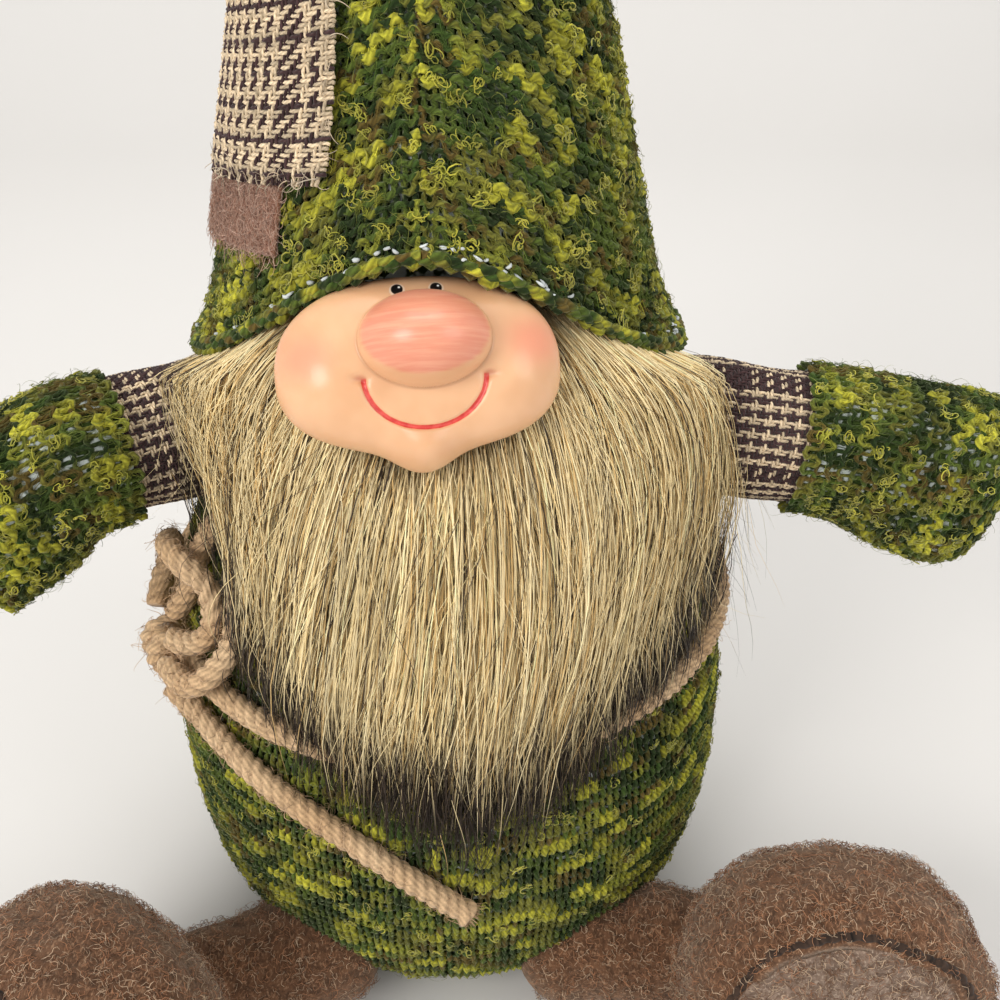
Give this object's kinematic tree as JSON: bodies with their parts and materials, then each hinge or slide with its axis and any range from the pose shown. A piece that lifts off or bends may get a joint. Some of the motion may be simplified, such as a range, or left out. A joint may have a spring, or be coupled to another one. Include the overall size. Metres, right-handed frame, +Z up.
{
  "type": "sitting tomte gnome figurine",
  "caption": "Sitting tomte gnome doll with a knitted body, mittens and tall cone hat, cast resin face, long fur beard, rope belt tied in a bow, tweed sleeves and felt boots",
  "frame": {"origin": "middle of the flat base disc, on the surface the figure sits on", "axes": "+Z up to the hat tip, the face looks along -Y, +X is the figure's own left"},
  "size_m": [0.227, 0.1769, 0.352],
  "materials": {
    "green_knit": "hand-knit look in mottled dark and mid green yarn with lime boucle slubs",
    "white_lining": "plain white lining cloth that shows as specks through the knit",
    "polyester_filling": "white polyester fibre filling",
    "pellet_bag_cloth": "thin cloth bag of weighting pellets",
    "base_board": "flat stiff board disc under the body",
    "houndstooth_tweed": "coarse cream and dark purple-brown houndstooth weave with frayed edges",
    "reddish_brown_felt": "heathered reddish brown felt",
    "painted_resin": "cast resin, skin coloured paint with a pink nose and cheeks, semi-gloss",
    "blond_fur": "long straight faux fur, blond with dark brown tips",
    "fur_backing": "knitted backing cloth of the fur",
    "twisted_rope": "soft twisted beige rope with loose fuzz",
    "brown_wool_felt": "brown wool felt with curly light fibres",
    "grey_brown_felt": "greyer brown felt"
  },
  "bodies": {
    "trunk": {"body_shell": "green_knit", "body_lining": "white_lining", "body_filling": "polyester_filling", "pellet_bag": "pellet_bag_cloth", "base_disc": "base_board", "hat_shell": "green_knit", "hat_lining": "white_lining", "hat_filling": "polyester_filling", "patch_felt": "reddish_brown_felt", "patch_tweed": "houndstooth_tweed", "face_mask": "painted_resin", "beard_pile": "blond_fur", "beard_backing": "fur_backing", "belt_rope": "twisted_rope", "belt_knot": "twisted_rope", "bow_loop_front": "twisted_rope", "bow_loop_rear": "twisted_rope", "rope_tail": "twisted_rope"},
    "arm_l": {"sleeve_l": "houndstooth_tweed", "mitten_l": "green_knit", "arm_filling_l": "polyester_filling", "hand_filling_l": "polyester_filling"},
    "arm_r": {"sleeve_r": "houndstooth_tweed", "mitten_r": "green_knit", "arm_filling_r": "polyester_filling", "hand_filling_r": "polyester_filling"},
    "foot_l": {"leg_l": "brown_wool_felt", "leg_filling_l": "polyester_filling", "boot_l": "brown_wool_felt", "sole_l": "grey_brown_felt", "boot_filling_l": "polyester_filling"},
    "foot_r": {"leg_r": "brown_wool_felt", "leg_filling_r": "polyester_filling", "boot_r": "brown_wool_felt", "sole_r": "grey_brown_felt", "boot_filling_r": "polyester_filling"}
  },
  "joints": [
    {"name": "shoulder_l", "type": "hinge", "parent": "trunk", "child": "arm_l", "pos_m": [0.0485, -0.004, 0.1315], "axis": [0, 1, 0], "range_deg": [-8, 30]},
    {"name": "shoulder_r", "type": "hinge", "parent": "trunk", "child": "arm_r", "pos_m": [-0.0485, -0.004, 0.1315], "axis": [0, -1, 0], "range_deg": [-8, 14]},
    {"name": "hip_l", "type": "hinge", "parent": "trunk", "child": "foot_l", "pos_m": [0.027, -0.05, 0.0156], "axis": [1, 0, 0], "range_deg": [-10, 80]},
    {"name": "hip_r", "type": "hinge", "parent": "trunk", "child": "foot_r", "pos_m": [-0.027, -0.05, 0.0156], "axis": [1, 0, 0], "range_deg": [-10, 80]}
  ]
}
